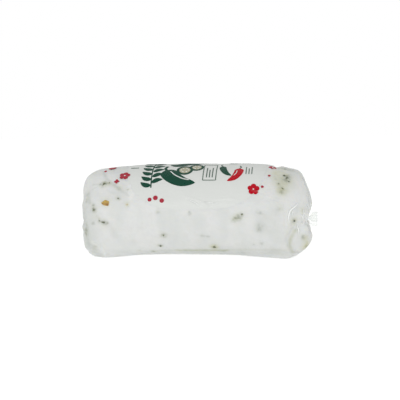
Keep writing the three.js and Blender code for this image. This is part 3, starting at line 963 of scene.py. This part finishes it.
def field_reach(along, around):
    """How far out of the white field's middle a place lies, where 1 is the rim."""
    half_length, half_arc, power = FIELD
    return (np.abs(along / half_length) ** power + np.abs(around / half_arc) ** power) ** (1 / power)


def white_field():
    return patch((0, arc(90)), lambda a: 1 / field_reach(np.cos(a), np.sin(a)), rings=44, spokes=180)


def join_shapes(shapes, both_sides):
    """One flat mesh of many shapes, and of their copies turned half round the top's middle."""
    whole = bmesh.new()
    middle = Matrix.Translation((0, arc(90), 0))
    half_round = middle @ Matrix.Rotation(math.pi, 4, "Z") @ middle.inverted()
    for bm in shapes:
        pour(bm, whole, half_round if both_sides else None)
    return whole


def lay_on_film(bm, depth, thickness, flecks, wrinkle, rows=row_at, sink=0.0):
    """Rolls flat shapes onto the film's inner side, depth below its outer face. rows gives the
    skin's row from the flat place, and sink is how much deeper the white field's rim lies, where
    it rests on the cheese."""
    flat = np.array([corner.co for corner in bm.verts])
    angle = flat[:, 1] / BODY_RADIUS
    v = rows(flat[:, 0], angle)
    reach = field_reach(flat[:, 0], flat[:, 1] - arc(90))
    rim = smooth((reach - FIELD_RIM) / (1 - FIELD_RIM))
    lift = film_rise(v, angle, flecks, wrinkle) - (depth + sink * rim)
    for corner, point in zip(bm.verts, to_metres(skin(v, angle, lift))):
        corner.co = point
    for face in bm.faces:
        face.normal_update()
    middle = Vector((0, 0, BODY_RADIUS * MM))
    outward = 0
    for face in bm.faces:
        outward += face.normal.dot(face.calc_center_median() - middle) * face.calc_area()
    if outward < 0:
        bmesh.ops.reverse_faces(bm, faces=bm.faces[:])
    bmesh.ops.solidify(bm, geom=bm.faces[:], thickness=thickness * MM)
    return bm


def fin_points(end, u, angle, tip_thickness):
    """Points of an end's fin, u of the way from its seal to its cut edge."""
    seal = np.full(len(u), 0.0 if end["side"] < 0 else 3.0)
    root, middle = skin(seal, angle), skin(seal, angle, edge=0.0)
    across = -np.cos(angle)
    wave = end["wave"] * np.sin(math.pi * end["turns"] * across + end["phase"])
    tip = end["side"] * (BODY_LENGTH / 2 + end["reach"])
    thin = 1 - (1 - tip_thickness / (2 * FIN_HALF_THICKNESS)) * smooth(u / FIN_THINS_OVER)
    half = (root - middle) * np.where(u > 0.999, 0, thin)[:, None]
    ripple = FIN_RIPPLE * np.sin(21 * across + 2) * smooth(u)
    up = (wave + end["curl"]) * smooth(FIN_RAMP * u) + ripple
    return middle + half + np.stack(((tip - root[:, 0]) * u, np.zeros(len(u)), up), axis=-1)


def film_mesh(wrinkle, tip_thickness, flecks):
    stations = spread_rows(FILM_ROWS)
    rows = len(stations) - 1

    def place(row, column):
        w = stations[np.rint(row * rows).astype(int)]
        angle = 2 * math.pi * column
        v = np.clip(w, 0, 3)
        off_seal = smooth(np.minimum(v, 3 - v) / 0.1)
        points = skin(v, angle, film_rise(v, angle, flecks, wrinkle) * off_seal)
        for end, u in zip(ENDS, (-w, w - 3)):
            points = np.where((u > 0)[:, None], fin_points(end, u, angle, tip_thickness), points)
        return to_metres(points)

    bm = lattice(rows, FILM_COLUMNS, place)
    layer = bm.verts.layers.float.new("haze_and_highlight")
    spots = np.array([divmod(corner.index, rows + 1) for corner in bm.verts])
    w = stations[spots[:, 1]]
    angle = 2 * math.pi * spots[:, 0] / FILM_COLUMNS
    fin = smooth(np.maximum(-w, w - 3) / 0.15)
    crimp = 0.5 + 0.5 * np.sin(2 * math.pi * FIN_HALF_WIDTH * np.cos(angle) / CRIMP_PITCH)
    crimp_haze = FIN_HAZE[0] + FIN_HAZE[1] * crimp
    # Painted highlights: milk on the film along folds, ridges, streaks and gathers; the fins' crimps are
    # only milky
    haze_and_highlight = film_haze_and_highlights(np.clip(w, 0, 3), angle) * (1 - fin) + fin * crimp_haze
    for corner, amount in zip(bm.verts, haze_and_highlight):
        corner[layer] = amount
    return close_up(bm)


def fold_strip(knots, width, strength):
    """A strip that tapers out at both ends, and keeps how milky it is, partly a painted highlight: most
    along its middle.
    """
    def taper(t):
        return width * np.sin(np.pi * (0.04 + 0.92 * clamp01(t))) ** 0.6

    bm = ribbon(knots, taper, 26, 6, "milk_and_highlight")
    layer = bm.verts.layers.float["milk_and_highlight"]
    for corner in bm.verts:
        beside = corner[layer]
        corner[layer] = strength * 4 * beside * (1 - beside)
    return bm


def gather_fold_highlights(end):
    """Uneven milky folds along an end's furrows, partly painted glints. They lie flat with their distance
    from the seal as x.
    """
    least, most = GATHER_WIDTH
    strips = []
    for index in range(end["pleats"]):
        turn = furrow_angle(end, index)
        first = GATHER_FIRST[0] + GATHER_FIRST[1] * (0.618 * index % 1)
        last = GATHER_LAST[0] + GATHER_LAST[1] * (0.382 * index % 1)
        sway = GATHER_SWAY * math.sin(5.1 * index)
        stops = ((first, 0), ((first + last) / 2, sway), (last, -0.4 * sway))
        knots = [(GATHER_SPAN * at, (turn + bend) * BODY_RADIUS) for at, bend in stops]
        share = 0.73 * index % 1
        width = least + (most - least) * share
        strips.append(fold_strip(knots, width, GATHER_MILK_HIGHLIGHT * (1 - 0.5 * share)))
    return strips


def fold_and_highlight_strips(depth, thickness, flecks, wrinkle):
    """The folds where the film lies double, on the body and along both ends' gathers, partly painted
    highlights.
    """
    strips = []
    for line, width, strength in PALE_FOLD_HIGHLIGHTS:
        strips += [fold_strip(unrolled(way), width, strength) for way in both_ways(line)]
    whole = lay_on_film(join_shapes(strips, False), depth, thickness, flecks, wrinkle)
    for end, seal in zip(ENDS, (0, 3)):
        def rows(x, angle, seal=seal):
            return np.abs(seal - x / GATHER_SPAN)

        strips = join_shapes(gather_fold_highlights(end), False)
        pour(lay_on_film(strips, depth, thickness, flecks, wrinkle, rows), whole)
    return whole


# Materials

class Signal:
    """A number that changes over a surface: a node's socket, with Python's operators."""

    def __init__(self, paint, socket):
        self.paint = paint
        self.socket = socket

    def combine(self, operation, first, second):
        return self.paint.node("ShaderNodeMath", {"operation": operation}, {0: first, 1: second})

    def __add__(self, other):
        return self.combine("ADD", self, other)

    def __sub__(self, other):
        return self.combine("SUBTRACT", self, other)

    def __rsub__(self, other):
        return self.combine("SUBTRACT", other, self)

    def __mul__(self, other):
        return self.combine("MULTIPLY", self, other)

    __radd__ = __add__
    __rmul__ = __mul__

    def at_most(self, limit):
        return self.combine("MINIMUM", self, limit)

    def clamped(self):
        return self.paint.node("ShaderNodeClamp", {}, {"Value": self})


class Paint:
    """A material or the world, built from nodes."""

    def __init__(self, owner):
        owner.use_nodes = True
        self.owner = owner
        self.tree = owner.node_tree
        self.tree.nodes.clear()

    def node(self, kind, settings, sockets, out=0):
        made = self.tree.nodes.new(kind)
        for key, value in settings.items():
            setattr(made, key, value)
        for key, value in sockets.items():
            if isinstance(value, Signal):
                self.tree.links.new(value.socket, made.inputs[key])
            else:
                made.inputs[key].default_value = value
        return Signal(self, made.outputs[out]) if made.outputs else None

    def place(self):
        return self.node("ShaderNodeTexCoord", {}, {}, "Object")

    def noise(self, size, detail=3, roughness=0.5, squash=None):
        """Cloudy noise whose patches are about size metres across, from 0 to 1."""
        where = self.place()
        if squash:
            where = self.node("ShaderNodeMapping", {}, {"Vector": where, "Scale": squash})
        sockets = {"Vector": where, "Scale": 1 / size, "Detail": detail, "Roughness": roughness}
        return self.node("ShaderNodeTexNoise", {}, sockets)

    def kept(self, name):
        """A number that the mesh keeps at each corner."""
        return self.node("ShaderNodeAttribute", {"attribute_name": name}, {}, "Fac")

    def step(self, value, low, high):
        settings = {"interpolation_type": "SMOOTHSTEP"}
        sockets = {"Value": value, "From Min": low, "From Max": high}
        return self.node("ShaderNodeMapRange", settings, sockets)

    def mix(self, factor, first, second):
        return self.node("ShaderNodeMix", {"data_type": "RGBA"}, {0: factor, 6: first, 7: second}, 2)

    def bump(self, height, distance):
        return self.node("ShaderNodeBump", {}, {"Height": height, "Distance": distance})

    def principled(self, **sockets):
        named = {key.replace("_", " "): value for key, value in sockets.items()}
        return self.node("ShaderNodeBsdfPrincipled", {}, named)

    def blend(self, factor, first, second):
        return self.node("ShaderNodeMixShader", {}, {0: factor, 1: first, 2: second})

    def finish(self, shader, kind="ShaderNodeOutputMaterial"):
        self.node(kind, {}, {"Surface": shader})
        return self.owner


def new_paint(name):
    return Paint(bpy.data.materials.new(name))


def solid(colour):
    return (*colour, 1.0)


WHITE = solid((1, 1, 1))


def cheese_material(look):
    """Moist fresh cheese: faint curd, pressed smears, tints where pepper lies in it, and painted shade and
    light.
    """
    paint = new_paint("fresh_cheese")
    curd = paint.noise(0.0016, 4, 0.6)
    smear = paint.noise(0.011, 3, 0.5, (1.6, 1, 1))
    colour = paint.mix(paint.step(smear, 0.35, 0.72), solid(look.colour), solid(look.smear_colour))
    colour = paint.mix(paint.step(curd, 0.4, 0.75) * 0.35, colour, solid(look.curd_colour))
    mottle = 0.1 + 1.8 * paint.noise(0.0024, 3, 0.6)
    ragged = 0.25 + 1.1 * paint.step(paint.noise(0.0011, 3, 0.65), 0.38, 0.6)
    # The kept grey, green and pale tints include painted shade and painted light along folds, furrows and
    # the underside
    tints = (look.green_stain, look.gold_stain, look.grey_stain, look.painted_light_tint, look.heart_stain)
    for kind, tint in zip(STAINS_AND_PAINTED_SHADING, tints):
        spread = ragged if kind == "heart" else mottle
        colour = paint.mix((paint.kept(kind + "_stain") * spread).clamped(), colour, solid(tint))
    grain = paint.noise(0.0007, 2, 0.5) * 0.35 + paint.noise(0.0034, 3, 0.55) * 0.65
    shader = paint.principled(
        Base_Color=colour, Roughness=0.52 + 0.14 * curd, Normal=paint.bump(grain, look.grain),
        Subsurface_Weight=look.glow_through, Subsurface_Radius=(1.0, 0.85, 0.6),
        Subsurface_Scale=look.glow_depth, Specular_IOR_Level=0.35,
    )
    return paint.finish(shader)


def pepper_material(name, colour, dark, gloss):
    paint = new_paint(name)
    patches = paint.step(paint.noise(0.0011, 3, 0.6), 0.32, 0.68)
    fibres = paint.noise(0.0005, 2, 0.5, (1, 1, 3))
    shade = paint.mix(patches, solid(dark), solid(colour))
    shader = paint.principled(
        Base_Color=shade, Roughness=gloss + 0.15 * fibres, Normal=paint.bump(fibres, 0.00008),
        Subsurface_Weight=0.12, Subsurface_Radius=(0.8, 1.0, 0.4), Subsurface_Scale=0.0006,
    )
    return paint.finish(shader)


def ink_material(name, colour, wear):
    """Gravure ink on the film's inner side: slightly uneven cover, faintly mottled."""
    paint = new_paint(name)
    tooth = paint.noise(0.00035, 2, 0.5)
    cloud = paint.noise(0.005, 3, 0.5)
    worn = tuple(channel + (WORN_TONE - channel) * wear for channel in colour)
    shade = paint.mix((cloud * 0.6 + tooth * 0.4 - 0.25).clamped(), solid(colour), solid(worn))
    shader = paint.principled(
        Base_Color=shade, Roughness=0.42 + 0.1 * tooth, Normal=paint.bump(tooth, 0.00001),
        Specular_IOR_Level=0.05,
    )
    return paint.finish(shader)


def fold_material(look):
    """Film lying double: milky, partly a painted highlight, and clearer in places."""
    paint = new_paint("film_folds_and_highlights")
    pull = paint.noise(0.0018, 2, 0.5)
    clear = paint.node("ShaderNodeBsdfTransparent", {}, {"Color": solid(look.tint)})
    milk_and_highlight = paint.principled(Base_Color=solid(look.fold_colour), Roughness=0.3, Specular_IOR_Level=0.3)
    share = paint.kept("milk_and_highlight") * (0.7 + 0.9 * pull) * look.fold_milk_highlight
    return paint.finish(paint.blend(share.clamped(), clear, milk_and_highlight))


def film_material(look):
    """Clear shrink film: see-through, glossy, and milky where folds lie double, a milk that partly paints
    highlights.
    """
    paint = new_paint("clear_film")
    pull = paint.noise(0.0028, 3, 0.55, (0.45, 1, 1))
    ripple = paint.noise(0.012, 2, 0.5, (0.4, 1, 1))
    height = pull * 0.4 + ripple * 0.6
    bumped = paint.bump(height, look.ripple)
    gloss = paint.node(
        "ShaderNodeBsdfGlossy", {}, {"Color": WHITE, "Roughness": look.roughness, "Normal": bumped}
    )
    clear = paint.node("ShaderNodeBsdfTransparent", {}, {"Color": solid(look.tint)})
    fresnel = paint.node("ShaderNodeFresnel", {}, {"IOR": look.refraction, "Normal": bumped})
    body = paint.blend(fresnel.at_most(look.most_gloss), clear, gloss)
    milk_and_highlight = paint.principled(Base_Color=solid(look.milk_and_highlight), Roughness=0.35, Normal=bumped)
    cloudy = paint.kept("haze_and_highlight") * (0.4 + 0.3 * pull) + paint.step(ripple, 0.5, 0.8) * look.cloud
    return paint.finish(paint.blend(cloudy.clamped(), body, milk_and_highlight))


# Settings that a user would change

def colour_property(name, description, default):
    return FloatVectorProperty(
        name=name, description=description, subtype="COLOR", size=3, min=0, max=1, default=default
    )


def length_property(name, description, default):
    return FloatProperty(
        name=name, description=description, unit="LENGTH", precision=5, min=0, max=10, default=default
    )


def share_property(name, description, default, high=1.0):
    return FloatProperty(name=name, description=description, min=0, max=high, default=default)


class CheeseSettings(bpy.types.PropertyGroup):
    """The cheese under the film."""
    gap: length_property("Gap under film", "How far the cheese lies below the film's outer face", 0.0003)
    grain: length_property("Grain", "Height of the curd's grain", 0.00009)
    glow_through: share_property("Glow", "How much light passes into the cheese", 0.3)
    glow_depth: length_property("Glow depth", "How far light spreads inside the cheese", 0.0014)
    colour: colour_property("Cheese", "Colour of the cheese", (0.787, 0.789, 0.782))
    smear_colour: colour_property("Smears", "Colour where the film presses closely", (0.73, 0.742, 0.73))
    curd_colour: colour_property("Curd", "Colour of the finest curd", (0.7, 0.703, 0.685))
    # The green tint is also laid as painted shade along some folds, creases and the underside
    green_stain: colour_property("Green tint", "Tint round green pepper", (0.3, 0.33, 0.06))
    gold_stain: colour_property("Gold tint", "Tint round ripe pepper and seeds", (0.54, 0.52, 0.18))
    # The grey tint is also painted shade, in folds, creases, along the underside and in the gathers'
    # furrows
    grey_stain: colour_property("Grey tint", "Tint over buried pepper", (0.42, 0.45, 0.4))
    # Painted light: the pale tint lightens the cheese along pale folds and over patches painted brighter
    painted_light_tint: colour_property("Pale tint", "Where loose film lies over the cheese", (0.95, 0.95, 0.94))
    heart_stain: colour_property("Buried pepper", "Pepper just under the cheese's face", (0.13, 0.15, 0.08))


class PepperSettings(bpy.types.PropertyGroup):
    """The pepper pieces."""
    proud: length_property("Proud", "How far the pieces stand out of the plain skin", 0.00022)
    skin: colour_property("Skin", "Colour of the pepper's skin", (0.21, 0.235, 0.14))
    dark: colour_property("Dark skin", "Darkest green of the pepper's skin", (0.06, 0.08, 0.04))
    flesh: colour_property("Flesh", "Colour of the pepper's flesh", (0.34, 0.37, 0.23))
    orange: colour_property("Orange", "Colour of the ripe piece", (0.64, 0.44, 0.08))


class PrintSettings(bpy.types.PropertyGroup):
    """The ink on the film's inner side."""
    depth: length_property("Depth", "How far the white ink lies below the film's outer face", 0.00021)
    layer: length_property("Layer", "Step from one ink to the next", 0.00003)
    thickness: length_property("Thickness", "Thickness of an ink layer", 0.00002)
    backing: length_property("Backing", "How far down the white ink reaches", 0.00012)
    rim: length_property("Rim", "How much deeper the white ink lies at its rim", 0.00007)
    white: colour_property("White", "Colour of the printed field", (0.76, 0.772, 0.752))
    green: colour_property("Green", "Colour of leaves and green pods", (0.004, 0.062, 0.036))
    red: colour_property("Red", "Colour of the large flower and the red pod", (0.5, 0.0, 0.012))
    dull_red: colour_property("Dull red", "Colour of dots and small flowers", (0.42, 0.032, 0.055))
    tan: colour_property("Tan", "Colour of the pepper slices", (0.47, 0.45, 0.33))
    grey: colour_property("Grey", "Colour of fine lines", (0.12, 0.17, 0.14))


class FilmSettings(bpy.types.PropertyGroup):
    """The clear film."""
    wrinkle: share_property("Wrinkles", "Strength of the film's fine wrinkles", 1.0, 3.0)
    tip: length_property("Seal thickness", "Thickness of the sealed fins at their cut edge", 0.00012)
    ripple: length_property("Ripple", "Height of the finest ripples", 0.00012)
    roughness: share_property("Roughness", "How far the gloss is spread", 0.16)
    refraction: FloatProperty(name="Refraction", description="The film's index of refraction", default=1.25)
    most_gloss: share_property("Most gloss", "The most that the film mirrors, seen at a low angle", 0.05)
    cloud: share_property("Cloud", "Milkiness of the loose patches", 0.018)
    tint: colour_property("Tint", "What the film lets through", (0.985, 0.99, 0.985))
    # These whites partly paint highlights along the film's folds, ridges and gathers
    milk_and_highlight: colour_property("Milk", "Colour of doubled folds", (0.95, 0.96, 0.95))
    fold_colour: colour_property("Folds", "Colour of the thin doubled folds", (0.92, 0.93, 0.92))
    fold_milk_highlight: share_property("Fold milk", "How milky the doubled folds are", 0.95)
    fold_depth: length_property("Fold depth", "How far the folds lie below the film's outer face", 0.00005)
    fold_thickness: length_property("Fold thickness", "Thickness of a fold's strip", 0.00003)


class StageSettings(bpy.types.PropertyGroup):
    """Floor, light and camera."""
    floor_size: length_property("Floor", "Radius of the floor", 2.5)
    floor_colour: colour_property("Floor", "Colour of the floor", (0.4, 0.4, 0.4))
    floor_glow: share_property("Floor glow", "How much light the floor gives off", 0.8, 2.0)
    floor_cast: share_property("Floor cast", "Share of the floor's glow that lights the log", 0.73)
    sky: share_property("Sky", "Brightness of the light from all round", 0.75, 3.0)
    mirrored_sky: share_property("Mirrored sky", "Brightness of what the film's gloss mirrors", 0.6, 3.0)
    key_power: FloatProperty(name="Key", description="Power of the front light", unit="POWER", default=3.45)
    key_width: length_property("Key width", "Width of the front light", 1.3)
    key_height: length_property("Key height", "Height of the front light", 0.55)
    key_distance: length_property("Key distance", "From the log to the front light", 1.3)
    camera_distance: length_property("Camera distance", "From the log to the camera", 0.4)


class LogSettings(bpy.types.PropertyGroup):
    """All the settings of the log and its stage."""
    cheese: PointerProperty(type=CheeseSettings)
    pepper: PointerProperty(type=PepperSettings)
    ink: PointerProperty(type=PrintSettings)
    film: PointerProperty(type=FilmSettings)
    stage: PointerProperty(type=StageSettings)


# Operators

class LOG_OT_cheese(bpy.types.Operator):
    """Add the log of cheese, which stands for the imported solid"""
    bl_idname = "cheese_log.add_cheese"
    bl_label = "Cheese"

    def execute(self, context):
        look = context.scene.cheese_log.cheese
        flecks = Flecks()
        bm = cheese_mesh(look.gap / MM, flecks)
        piece = add_piece("goat_cheese", bm, cheese_material(look), "fresh_cheese")
        write_stains_and_painted_shading(piece, flecks)
        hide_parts(NODE)
        return {"FINISHED"}


class LOG_OT_pepper(bpy.types.Operator):
    """Add the pepper pieces that lie in the cheese's face"""
    bl_idname = "cheese_log.add_pepper"
    bl_label = "Pepper pieces"

    def execute(self, context):
        look = context.scene.cheese_log.pepper
        paints = {
            "pepper_skin_bits": pepper_material("pepper_skin", look.skin, look.dark, 0.3),
            "pepper_flesh_bits": pepper_material("pepper_flesh", look.flesh, look.skin, 0.4),
            "pepper_orange_bits": pepper_material("pepper_orange", look.orange, (0.3, 0.13, 0.02), 0.35),
        }
        for name, bm in pepper_meshes(Flecks(), look.proud / MM).items():
            add_piece(name, bm, paints[name], "pepper_skin", crisp=True)
        return {"FINISHED"}


class LOG_OT_print(bpy.types.Operator):
    """Add the ink on the film's inner side"""
    bl_idname = "cheese_log.add_print"
    bl_label = "Print"

    def execute(self, context):
        look = context.scene.cheese_log.ink
        wrinkle = context.scene.cheese_log.film.wrinkle
        flecks = Flecks()
        depth, layer, thickness = look.depth / MM, look.layer / MM, look.thickness / MM
        field = lay_on_film(white_field(), depth, look.backing / MM, flecks, wrinkle, sink=look.rim / MM)
        paint = ink_material("ink_white", look.white, WHITE_WEAR)
        add_piece("ink_white", field, paint, "printed_ink", crisp=True)
        for ink, shapes in printed_shapes().items():
            colour, level = INKS[ink]
            bm = join_shapes(shapes, True)
            lay_on_film(bm, depth - layer * level, thickness, flecks, wrinkle)
            paint = ink_material("ink_" + ink, getattr(look, colour), COLOUR_WEAR)
            add_piece("ink_" + ink, bm, paint, "printed_ink", crisp=True)
        return {"FINISHED"}


class LOG_OT_film(bpy.types.Operator):
    """Add the clear film, gathered and sealed at both ends"""
    bl_idname = "cheese_log.add_film"
    bl_label = "Film"

    def execute(self, context):
        look = context.scene.cheese_log.film
        flecks = Flecks()
        bm = film_mesh(look.wrinkle, look.tip / MM, flecks)
        add_piece("clear_film", bm, film_material(look), "clear_film")
        strips = fold_and_highlight_strips(look.fold_depth / MM, look.fold_thickness / MM, flecks, look.wrinkle)
        add_piece("film_folds_and_highlights", strips, fold_material(look), "clear_film", crisp=True)
        return {"FINISHED"}


class LOG_OT_stage(bpy.types.Operator):
    """Add the floor, the light and the camera"""
    bl_idname = "cheese_log.add_stage"
    bl_label = "Stage"

    def execute(self, context):
        look = context.scene.cheese_log.stage
        add_floor(look)
        add_light(context.scene, look)
        add_camera(context.scene, look)
        return {"FINISHED"}


def add_floor(look):
    bm = bmesh.new()
    bmesh.ops.create_circle(bm, cap_ends=True, radius=look.floor_size, segments=96)
    paint = new_paint("pale_floor")
    dimmed = tuple(0.94 * channel for channel in look.floor_colour)
    tone = paint.mix(paint.noise(0.3, 2) * 0.15, solid(look.floor_colour), solid(dimmed))
    seen = paint.node("ShaderNodeLightPath", {}, {}, "Is Camera Ray")
    shine = paint.mix(seen, solid((look.floor_cast,) * 3), WHITE)
    shader = paint.principled(
        Base_Color=tone, Roughness=0.9, Specular_IOR_Level=0.0, Emission_Color=shine,
        Emission_Strength=look.floor_glow,
    )
    floor = add_piece("floor", bm, paint.finish(shader))


def add_light(scene, look):
    sky = bpy.data.worlds.new("studio")
    paint = Paint(sky)
    lit, seen, mirrored = (
        paint.node("ShaderNodeBackground", {}, {"Color": WHITE, "Strength": strength})
        for strength in (look.sky, 1.0, look.mirrored_sky)
    )
    camera_ray = paint.node("ShaderNodeLightPath", {}, {}, "Is Camera Ray")
    glossy_ray = paint.node("ShaderNodeLightPath", {}, {}, "Is Glossy Ray")
    sky_light = paint.blend(camera_ray, paint.blend(glossy_ray, lit, mirrored), seen)
    paint.finish(sky_light, "ShaderNodeOutputWorld")
    scene.world = sky
    lamp = bpy.data.lights.new("front_softbox", "AREA")
    lamp.energy = look.key_power
    lamp.shape = "RECTANGLE"
    lamp.size = look.key_width
    lamp.size_y = look.key_height
    rig = bpy.data.objects.new("front_softbox", lamp)
    way = Vector(LAMP_WAY).normalized()
    rig.location = Vector(AIM) + way * look.key_distance
    rig.rotation_euler = way.to_track_quat("Z", "Y").to_euler()
    scene.collection.objects.link(rig)
    scene.view_settings.view_transform = "Standard"


def add_camera(scene, look):
    azimuth, elevation = math.radians(CAMERA_AZIMUTH), math.radians(CAMERA_ELEVATION)
    level = Vector((math.cos(azimuth), math.sin(azimuth), 0))
    outward = Vector((math.sin(azimuth), -math.cos(azimuth), 0))
    back = outward * math.cos(elevation) + Vector((0, 0, math.sin(elevation)))
    axes = Matrix((level, back.cross(level), back)).transposed()
    axes = axes @ Matrix.Rotation(math.radians(CAMERA_ROLL), 3, "Z")
    data = bpy.data.cameras.new("camera")
    data.lens = CAMERA_LENS
    data.sensor_width = SENSOR
    data.clip_start = 0.01
    camera = bpy.data.objects.new("camera", data)
    camera.matrix_world = Matrix.Translation(Vector(AIM) + back * look.camera_distance) @ axes.to_4x4()
    scene.collection.objects.link(camera)
    scene.camera = camera


OPERATORS = (LOG_OT_cheese, LOG_OT_pepper, LOG_OT_print, LOG_OT_film, LOG_OT_stage)


class LOG_PT_sidebar(bpy.types.Panel):
    """Lists the log's operators and settings"""
    bl_idname = "LOG_PT_sidebar"
    bl_label = "Cheese log"
    bl_space_type = "VIEW_3D"
    bl_region_type = "UI"
    bl_category = "Cheese log"

    def draw(self, context):
        settings = context.scene.cheese_log
        for operator, name in zip(OPERATORS, ("cheese", "pepper", "ink", "film", "stage")):
            box = self.layout.box()
            box.operator(operator.bl_idname)
            group = getattr(settings, name)
            for key in group.bl_rna.properties.keys():
                if key not in ("rna_type", "name"):
                    box.prop(group, key)


CLASSES = (
    CheeseSettings, PepperSettings, PrintSettings, FilmSettings, StageSettings, LogSettings, *OPERATORS,
    LOG_PT_sidebar,
)


def register():
    for entry in CLASSES:
        bpy.utils.register_class(entry)
    bpy.types.Scene.cheese_log = PointerProperty(type=LogSettings)


def unregister():
    del bpy.types.Scene.cheese_log
    for entry in reversed(CLASSES):
        bpy.utils.unregister_class(entry)


def main():
    register()
    bpy.ops.cheese_log.add_stage()
    bpy.ops.cheese_log.add_cheese()
    bpy.ops.cheese_log.add_pepper()
    bpy.ops.cheese_log.add_print()
    bpy.ops.cheese_log.add_film()


if __name__ == "__main__":
    main()
